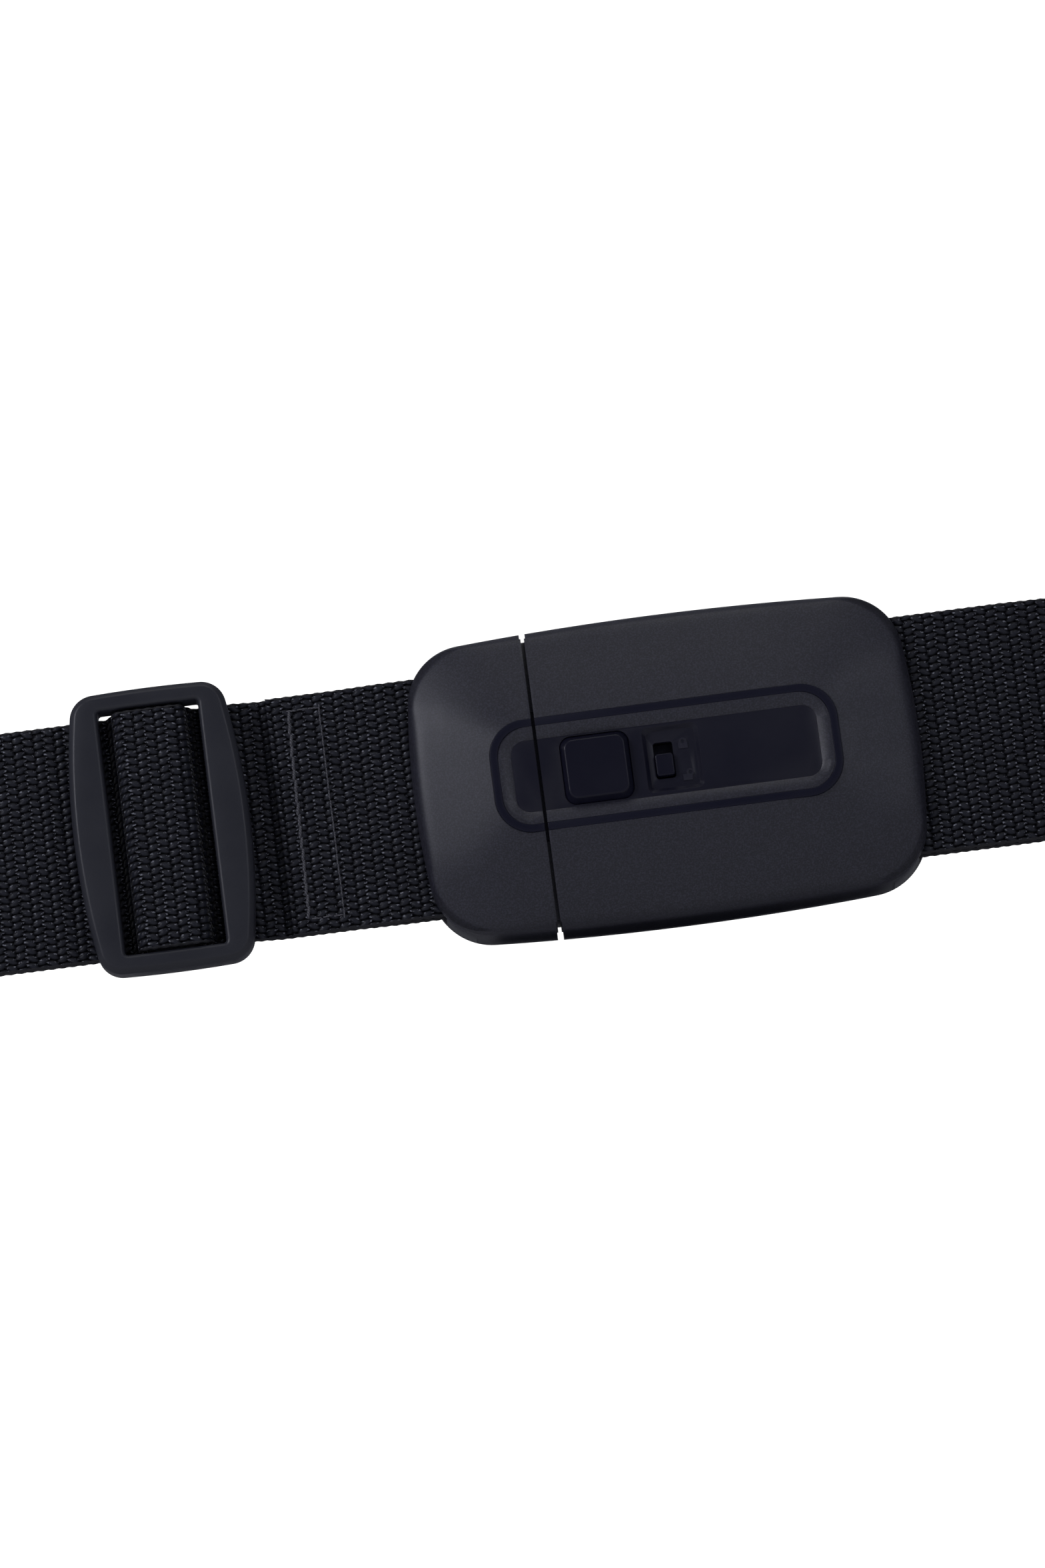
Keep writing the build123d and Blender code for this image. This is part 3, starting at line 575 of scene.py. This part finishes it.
def thread_material():
    """Twisted sewing thread."""
    material, tree = new_material("thread")
    inputs = {"Scale": 900, "Distortion": 1.5, "Vector": object_vector(tree, scale=(1, 1, 1))}
    twist = add_node(tree, "TexWave", inputs, output="Fac", bands_direction="DIAGONAL")
    set_principled(tree, {
        "Base Color": mix_colour(twist, (0.022, 0.022, 0.027), (0.06, 0.06, 0.07)),
        "Roughness": 0.42,
        "Specular IOR Level": 0.35,
        "Normal": bump(twist, strength=0.6, distance=0.0002),
    })
    return material


WEBBING = webbing_material()
WEBBING_EDGE = edge_material()
THREAD = thread_material()


# ------------------------------------------------------------------ webbing geometry
def unit(vector):
    return vector / np.linalg.norm(vector)


def path_samples(corners, step):
    """Sample straight lines joined by tangent arcs.

    corners holds x, y and arc radius. Returns the points, the unit normals to the left of
    travel and the running length.
    """
    spots = [np.array(corner[:2], float) for corner in corners]
    points, normals, run = [], [], []

    def add(point, heading, length):
        points.append(point)
        normals.append(np.array([-heading[1], heading[0]]))
        run.append(length)

    def add_line(start, end, length):
        span = np.linalg.norm(end - start)
        heading = (end - start) / span
        count = max(1, math.ceil(span / step))
        for k in range(count):
            add(start + heading * span * k / count, heading, length + span * k / count)
        return length + span

    def add_arc(start, heading, turn, radius, length):
        span = abs(turn) * radius
        sign = 1 if turn > 0 else -1
        centre = start + sign * np.array([-heading[1], heading[0]]) * radius
        count = max(3, math.ceil(span / step), int(abs(turn) / 0.14))
        for k in range(count):
            angle = turn * k / count
            c, s = math.cos(angle), math.sin(angle)
            rotation = np.array([[c, -s], [s, c]])
            add(centre + rotation @ (start - centre), rotation @ heading,
                length + span * k / count)
        return length + span

    at, length = spots[0], 0.0
    for i in range(1, len(spots) - 1):
        before, after = unit(spots[i] - spots[i - 1]), unit(spots[i + 1] - spots[i])
        cross = before[0] * after[1] - before[1] * after[0]
        turn = math.atan2(cross, float(before @ after))
        radius = corners[i][2]
        tangent = radius * math.tan(abs(turn) / 2)
        arc_start = spots[i] - before * tangent
        if np.linalg.norm(arc_start - at) > 1e-6:
            length = add_line(at, arc_start, length)
        length = add_arc(arc_start, before, turn, radius, length)
        at = spots[i] + after * tangent
    length = add_line(at, spots[-1], length)
    add(spots[-1], unit(spots[-1] - at), length)
    return np.array(points), np.array(normals), np.array(run)


def weave_height(u, v):
    """The material's weave, for the relief of the mesh."""
    best = np.zeros(np.broadcast(u, v).shape)
    for shift, slant, phase in YARNS:
        row = (v + shift) / ROW
        off_row = (row - np.round(row)) * ROW
        profile = np.sqrt(np.maximum(1 - (np.abs(off_row) / YARN_HALF) ** 2, 0))
        angle = 2 * math.pi * ((u + slant * off_row) / PERIOD + phase)
        best = np.maximum(best, profile * (0.5 + 0.5 * np.cos(angle)) ** FLOAT)
    return best


def band_section(pitch):
    """Offset, place across and side (1 left of travel, -1 right, 0 rolled edge) of each point."""
    half, flat = WEB_T / 2, WEB_W / 2 - EDGE_ROLL
    across = np.linspace(-flat, flat, int(2 * flat / pitch) + 1)
    rolls = [math.pi * k / 4 for k in range(1, 4)]
    section = [(half, v, 1) for v in across]
    section += [(half * math.cos(a), flat + EDGE_ROLL * math.sin(a), 0) for a in rolls]
    section += [(-half, v, -1) for v in across[::-1]]
    section += [(-half * math.cos(a), -flat - EDGE_ROLL * math.sin(a), 0) for a in rolls]
    return np.array(section).T


def recalc_normals(mesh):
    bm = bmesh.new()
    bm.from_mesh(mesh)
    bmesh.ops.recalc_face_normals(bm, faces=bm.faces)
    bm.to_mesh(mesh)
    bm.free()


def make_band(name, samples, pitch, relief=0.0, cap_start=True, cap_end=True):
    """Strip of webbing: two woven faces, rolled scalloped edges and cut ends."""
    points, normals, run = samples
    offset, across, side = band_section(pitch)
    rows, columns = len(points), len(across)
    u, v = run[:, None], across[None, :]
    sunk = relief * (1 - weave_height(u, v + WEB_W / 2))
    out = offset - side * sunk
    scallop = 0.16 * (0.5 + 0.5 * np.cos(2 * math.pi * u / (PERIOD / 2))) - 0.10

    places = np.zeros((rows, columns, 3))
    places[:, :, :2] = points[:, None, :] + normals[:, None, :] * out[:, :, None]
    places[:, :, 2] = v + np.where(side == 0, np.sign(v) * scallop, 0)

    index = np.arange(rows * columns).reshape(rows, columns)
    a, b = index[:-1], index[1:]
    quads = np.stack([a, np.roll(a, -1, 1), np.roll(b, -1, 1), b], -1)
    faces = quads.reshape(-1, 4).tolist()
    if cap_start:
        faces.append(index[0, ::-1].tolist())
    if cap_end:
        faces.append(index[-1].tolist())
    mesh = bpy.data.meshes.new(name)
    mesh.from_pydata((places.reshape(-1, 3) * MM).tolist(), [], faces)

    layer = mesh.uv_layers.new(name="weave")
    corners = np.zeros(len(mesh.loops), np.int32)
    mesh.loops.foreach_get("vertex_index", corners)
    uvs = np.stack([np.repeat(run, columns), np.tile(across + WEB_W / 2, rows)], -1) / UV_UNIT
    layer.data.foreach_set("uv", uvs[corners].astype(np.float32).ravel())

    band = bpy.data.objects.new(name, mesh)
    scene.collection.objects.link(band)
    mesh.materials.append(WEBBING)
    mesh.materials.append(WEBBING_EDGE)
    # the rolled edges and the caps take the edge material
    slots = np.ones(len(mesh.polygons), np.int32)
    on_edge = (side == 0) | (np.roll(side, -1) == 0)
    slots[:(rows - 1) * columns] = np.tile(on_edge, rows - 1)
    mesh.polygons.foreach_set("material_index", slots)
    mesh.polygons.foreach_set("use_smooth", np.ones(len(mesh.polygons), bool))
    mesh.update()
    recalc_normals(mesh)
    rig.slot(band, "webbing")
    return band


# The whole belt in plan: x, y, arc radius. The outer layer comes first, from the left of the
# buckle round the loop; it turns back in the right half and runs round again as the inner one.
BELT = [
    # left half of the buckle
    (-80.0, -OUTER_LAP, 0), (-66.0, -OUTER_LAP, 8), (-57.0, -OUTER_SPREAD, 8),
    (-NOSE_X, -OUTER_SPREAD, TURN_R), (-NOSE_X, -INNER_SPREAD, TURN_R),
    (-57.0, -INNER_SPREAD, 8), (-66.0, -INNER_LAP, 8), (-82.0, -INNER_LAP, 4),
    (-87.0, -OUTER_LAP, 4),
    # outer layer
    (LEFT_X - OUTER_OFF, -OUTER_LAP, OUTER_R), (LEFT_X - OUTER_OFF, BACK_Y + OUTER_OFF, OUTER_R),
    (RIGHT_X + OUTER_OFF, BACK_Y + OUTER_OFF, OUTER_R),
    (RIGHT_X + OUTER_OFF, -OUTER_LAP, OUTER_R),
    # right half of the buckle
    (82.0, -OUTER_LAP, 8), (72.0, -OUTER_SPREAD, 8),
    (NOSE_X, -OUTER_SPREAD, TURN_R), (NOSE_X, -INNER_SPREAD, TURN_R),
    (72.0, -INNER_SPREAD, 8), (82.0, -INNER_LAP, 8),
    # inner layer
    (RIGHT_X + INNER_OFF, -INNER_LAP, INNER_R),
    (RIGHT_X + INNER_OFF, BACK_Y + INNER_OFF, INNER_R),
    (LEFT_X - INNER_OFF, BACK_Y + INNER_OFF, INNER_R), (LEFT_X - INNER_OFF, -INNER_LAP, INNER_R),
    (-94.5, -INNER_LAP, 0),
]
FINE_PITCH, COARSE_PITCH = 0.8, 1.6  # mesh spacing across the webbing
WOVEN_RELIEF = 0.05
LENGTHS = 4  # the belt is cut into this many meshes


def build_belt():
    points, normals, run = path_samples(BELT, step=0.55)
    cuts = [int(np.searchsorted(run, k / LENGTHS * run[-1])) for k in range(1, LENGTHS)]
    ends = [0, *cuts, len(run) - 1]
    bands = []
    for i in range(LENGTHS):
        part = slice(ends[i], ends[i + 1] + 1)
        band = make_band(f"webbing_length_{i + 1}", (points[part], normals[part], run[part]),
                         pitch=COARSE_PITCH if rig.quick() else FINE_PITCH,
                         relief=WOVEN_RELIEF, cap_start=i == 0, cap_end=i == LENGTHS - 1)
        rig.ride(band, "strap")
        bands.append(band)
    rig.replaces(bands[0], "webbing")


def build_fold():
    """Webbing folded over the front of the adjuster's bar, outside the end loop."""
    depth = BAR_FRONT + 2 * BAR_CLEARANCE + 1.5 * WEB_T
    foot_x, foot_depth = 8.4, 9.05
    side_x, side_depth = 7.1, 11.2
    points, normals, run = path_samples([
        (ADJUSTER_X + foot_x, -foot_depth, 0), (ADJUSTER_X + side_x, -side_depth, 2.0),
        (ADJUSTER_X + side_x, -depth, 2.2), (ADJUSTER_X - side_x, -depth, 2.2),
        (ADJUSTER_X - side_x, -side_depth, 2.0), (ADJUSTER_X - foot_x, -foot_depth, 0),
    ], step=0.3)
    weave_start = 3.1
    fold = make_band("webbing_over_bar", (points, normals, run + weave_start),
                     pitch=FINE_PITCH, relief=WOVEN_RELIEF)
    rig.ride(fold, "adjuster")
    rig.replaces(fold, "webbing_fold")


def build_end_loop():
    """Loop of webbing round the adjuster's bar, all but closed on its rear side."""
    gap = BAR_CLEARANCE + WEB_T / 2
    half_x = BAR_HALF_X + gap
    rear_y, front_y = -(BAR_REAR - gap), -(BAR_FRONT + gap)
    radius = 1.8
    samples = path_samples([
        (ADJUSTER_X, rear_y, 0), (ADJUSTER_X - half_x, rear_y, radius),
        (ADJUSTER_X - half_x, front_y, radius), (ADJUSTER_X + half_x, front_y, radius),
        (ADJUSTER_X + half_x, rear_y, radius), (ADJUSTER_X + 0.01, rear_y, 0),
    ], step=0.4)
    loop = make_band("webbing_end_loop_visual", samples, pitch=COARSE_PITCH)
    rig.ride(loop, "adjuster")
    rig.replaces(loop, "webbing_end_loop")


build_belt()
build_fold()
build_end_loop()


# ------------------------------------------------------------------ stitches
def jitter(spread):
    return rng.normal(0, spread)


def stitch_rows():
    """x, z, lean from the z axis, length and thread radius of each stitch."""
    rows = []
    for k in range(18):  # heavy rope-like row
        x = -76.4 + 0.05 * k + jitter(0.05)
        rows.append((x, -20.4 + 2.4 * k, 0.16 + jitter(0.03), 2.9, 0.34))
    for k in range(20):  # fine row
        rows.append((-69.2 + jitter(0.03), -21.4 + 2.25 * k, 0.03 + jitter(0.02), 2.35, 0.17))
    for z in (21.8, -21.8):  # short cross rows at both ends
        for k in range(3):
            rows.append((-74.9 + 2.3 * k, z + jitter(0.04), math.pi / 2 + jitter(0.04),
                         2.2, 0.17))
    return rows


def build_stitches(name, depth, outward):
    """Arched threads on one face; outward is 1 on the front and -1 on the rear."""
    segments, sides = 8, 8
    vertices, faces = [], []
    forward = np.array([0, -1.0, 0])
    for x, z, lean, length, radius in stitch_rows():
        run_x, run_z = math.sin(lean), math.cos(lean)
        sideways = np.array([run_z, 0, -run_x])
        base = len(vertices)
        for i in range(segments + 1):
            t = i / segments
            along = (t - 0.5) * length
            arch = math.sin(math.pi * t)
            lift = arch ** 0.5 * radius - radius * 0.75
            thick = radius * (0.72 + 0.28 * arch)
            centre = np.array([x + run_x * along, -(depth + outward * lift), z + run_z * along])
            for j in range(sides):
                a = 2 * math.pi * j / sides
                rim = sideways * thick * math.cos(a) + forward * thick * 0.8 * math.sin(a)
                vertices.append(tuple((centre + rim) * MM))
        for i in range(segments):
            for j in range(sides):
                a = base + i * sides + j
                b = base + i * sides + (j + 1) % sides
                faces.append((a, b, b + sides, a + sides))
        last = base + segments * sides
        faces.append(tuple(base + j for j in range(sides)))
        faces.append(tuple(last + sides - 1 - j for j in range(sides)))
    mesh = bpy.data.meshes.new(name)
    mesh.from_pydata(vertices, [], faces)
    recalc_normals(mesh)
    for polygon in mesh.polygons:
        polygon.use_smooth = True
    mesh.materials.append(THREAD)
    stitches = bpy.data.objects.new(name, mesh)
    scene.collection.objects.link(stitches)
    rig.ride(stitches, "strap")
    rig.slot(stitches, "thread")
    return stitches


front_stitches = build_stitches("box_stitch_front", depth=OUTER_LAP + WEB_T / 2, outward=1)
build_stitches("box_stitch_rear", depth=INNER_LAP - WEB_T / 2, outward=-1)
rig.replaces(front_stitches, "box_stitching")

# ------------------------------------------------------------------ CAD pieces
# piece, material, bevel width (None for no bevel)
PIECES = [
    ("tongue_front_shell", SHELL, 0.35),
    ("receiver_front_shell", SHELL, 0.35),
    ("tongue_rear_shell", SHELL_REAR, 0.35),
    ("receiver_rear_shell", SHELL_REAR, 0.35),
    ("tongue_plate", STEEL, 0.15),
    ("receiver_plate", STEEL, 0.15),
    ("latch_leaf", SPRING, None),
    ("latch_rivets", STEEL, None),
    ("button_springs", SPRING, None),
    ("lock_detent_spring", SPRING, None),
    ("tongue_panel", PANEL, 0.08),
    ("control_panel", MARKED_PANEL, 0.08),
    ("tongue_trim", TRIM, 0.1),
    ("receiver_trim", TRIM, 0.1),
    ("tongue_screws", STEEL, None),
    ("receiver_screws", STEEL, None),
    ("guide_frame", ACETAL, 0.2),
    ("release_button", BUTTON, 0.2),
    ("lock_slider", BUTTON, 0.12),
    ("adjuster_frame", ADJUSTER, 0.45),
]


def finish_piece(name, material, bevel_width):
    """Give a CAD piece its material, rounded edges and smooth shading."""
    piece = NODES[name]
    piece.data.materials.clear()
    piece.data.materials.append(material)
    weld = piece.modifiers.new("weld", "WELD")
    weld.merge_threshold = 2e-6
    if bevel_width is not None:
        bevel = piece.modifiers.new("bevel", "BEVEL")
        bevel.width = bevel_width * MM
        bevel.segments = 2
        bevel.limit_method = "ANGLE"
        bevel.angle_limit = math.radians(32)
        bevel.harden_normals = False
        bevel.use_clamp_overlap = True
    for polygon in piece.data.polygons:
        polygon.use_smooth = True
    bpy.context.view_layer.objects.active = piece
    piece.select_set(True)
    # guards the operator, which can fail where its node group asset can't be loaded
    try:
        bpy.ops.object.shade_auto_smooth(angle=math.radians(30))
    except Exception as error:
        print("auto smooth", name, error)
    piece.select_set(False)


for row in PIECES:
    finish_piece(*row)


def build_coils():
    """Copy of the button springs that squashes as the button is pressed."""
    springs = NODES["button_springs"]
    coils = bpy.data.objects.new("button_spring_coils", springs.data.copy())
    coils.matrix_world = springs.matrix_world.copy()
    scene.collection.objects.link(coils)
    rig.ride(coils, "receiver")
    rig.slot(coils, "spring_steel")
    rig.squash(coils, "button_press", axis=(0, 1, 0), anchor=(-0.01428, -0.00936, 0.0), keep=0.34)
    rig.replaces(coils, "button_springs")


build_coils()

# ------------------------------------------------------------------ stage, in metres
# The camera looks up at the buckle from in front and below, rolled clockwise.
ELEVATION, ROLL, DISTANCE = math.radians(-11.5), math.radians(7.4), 1.6
VIEW_DIR = Vector((0, math.cos(ELEVATION), -math.sin(ELEVATION)))
VIEW_HEIGHT = 0.31913161  # height of the view at the target
SENSOR_HEIGHT = 36.0  # millimetres
FACE_CENTRE = Vector((0, -0.017, 0))
FACE_RIGHT, FACE_UP = 0.029308005, 0.005156038  # the face centre's offset from mid-view
BACKDROP = 1.2  # strength of the white seen by the camera


def floor_material():
    """Pale floor, lifted for the camera; clear from below and to shadow rays."""
    material, tree = new_material("stage_floor")
    matte = add_node(tree, "BsdfPrincipled", {
        "Base Color": (0.86, 0.86, 0.865, 1), "Roughness": 0.8, "Specular IOR Level": 0.1})
    camera_ray = add_node(tree, "LightPath", output="Is Camera Ray")
    lift = add_node(tree, "Emission", {"Color": (0.95, 0.97, 1.0, 1),
                                       "Strength": camera_ray * 0.34})
    seen = add_node(tree, "AddShader", {0: matte, 1: lift})
    backfacing = add_node(tree, "NewGeometry", output="Backfacing")
    clear = maximum(backfacing, camera_ray.output("Is Shadow Ray"))
    transparent = add_node(tree, "BsdfTransparent")
    set_output(tree, "Material", add_node(tree, "MixShader", {0: clear, 1: seen, 2: transparent}))
    return material


def card_material():
    """White that only camera rays nearly along the main camera's view meet."""
    material, tree = new_material("stage_card")
    glow = add_node(tree, "Emission", {"Color": (1, 1, 1, 1), "Strength": BACKDROP})
    transparent = add_node(tree, "BsdfTransparent")
    incoming = add_node(tree, "NewGeometry", output="Incoming")
    facing = add_node(tree, "VectorMath", {0: incoming, 1: tuple(-VIEW_DIR)},
                      output="Value", operation="DOT_PRODUCT")
    camera_ray = add_node(tree, "LightPath", output="Is Camera Ray")
    seen = (facing > 0.991) * camera_ray
    set_output(tree, "Material", add_node(tree, "MixShader", {0: seen, 1: transparent, 2: glow}))
    return material


def add_plane(name, size, location, rotation, material):
    bpy.ops.mesh.primitive_plane_add(size=1, location=location, rotation=rotation)
    plane = bpy.context.object
    plane.name = name
    plane.scale = (*size, 1)
    plane.data.materials.append(material)
    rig.stage(plane)
    return plane


def build_world():
    """White for the camera; a dim cool light, brighter overhead, for everything else."""
    world = bpy.data.worlds.new("studio")
    scene.world = world
    tree = empty_tree(world)
    seen = add_node(tree, "Background", {"Color": (1, 1, 1, 1), "Strength": BACKDROP})
    z = split(add_node(tree, "NewGeometry", output="Incoming"))[2]
    lit = add_node(tree, "Background", {
        "Color": (0.92, 0.95, 1.1, 1),
        "Strength": ramp(z * -1.0, span=(-0.6, 0.9), to=(0.13, 0.23))})
    camera_ray = add_node(tree, "LightPath", output="Is Camera Ray")
    set_output(tree, "World", add_node(tree, "MixShader", {0: camera_ray, 1: lit, 2: seen}))


def add_light(name, location, target, size, energy, colour):
    light = bpy.data.lights.new(name, "AREA")
    light.shape = "RECTANGLE"
    light.size = size
    light.size_y = size
    light.energy = energy
    light.color = colour
    lamp = bpy.data.objects.new(name, light)
    scene.collection.objects.link(lamp)
    lamp.location = location
    aim = Vector(target) - Vector(location)
    lamp.rotation_euler = aim.to_track_quat("-Z", "Y").to_euler()
    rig.stage(lamp)


def build_camera():
    data = bpy.data.cameras.new("main_camera")
    data.sensor_fit = "VERTICAL"
    data.sensor_height = SENSOR_HEIGHT
    data.lens = SENSOR_HEIGHT * DISTANCE / VIEW_HEIGHT
    data.clip_start = 0.05
    data.clip_end = 30
    camera = bpy.data.objects.new("main_camera", data)
    scene.collection.objects.link(camera)
    level_up = Vector((0, math.sin(ELEVATION), math.cos(ELEVATION)))
    level_right = Vector((1, 0, 0))
    right = level_right * math.cos(ROLL) - level_up * math.sin(ROLL)
    up = level_up * math.cos(ROLL) + level_right * math.sin(ROLL)
    target = FACE_CENTRE - right * FACE_RIGHT - up * FACE_UP
    rotation = Matrix((right, up, -VIEW_DIR)).transposed()
    camera.matrix_world = Matrix.Translation(target - VIEW_DIR * DISTANCE) @ rotation.to_4x4()
    scene.camera = camera


add_plane("stage_floor", (6, 6), (-0.05, 0.07, -0.0321), (0, 0, 0), floor_material())
# upright card behind the front run
card = add_plane("stage_card", (0.36, 0.10), (-0.03, 0.003, -0.035),
                 (math.radians(90), 0, 0), card_material())
for ray in ("diffuse", "glossy", "transmission", "volume_scatter", "shadow"):
    setattr(card, "visible_" + ray, False)
build_world()

# name, location, target, size (m), energy (W), colour
for row in (
    ("key", (-0.85, -0.62, 0.45), (-0.03, 0, 0), 0.3, 6.2, (0.96, 0.97, 1.06)),
    ("top", (0.1, -0.45, 1.2), (0, 0, 0), 0.9, 3.5, (1, 1, 1)),
    ("fill", (0.85, -1.15, 0.42), (0, 0, 0), 0.6, 2.8, (0.95, 0.97, 1.08)),
    ("under", (0.1, -0.55, -0.75), (0, 0, -0.03), 0.7, 1.6, (0.95, 0.97, 1.08)),
):
    add_light(*row)
build_camera()

scene.view_settings.view_transform = "Standard"
scene.view_settings.look = "None"
scene.cycles.use_denoising = True
scene.cycles.max_bounces = 8
scene.cycles.sample_clamp_indirect = 4.0

BOX_AT_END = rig.bounds()
json.dump({"start": [list(map(float, c)) for c in BOX_AT_START],
           "end": [list(map(float, c)) for c in BOX_AT_END]}, open("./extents.json", "w"))
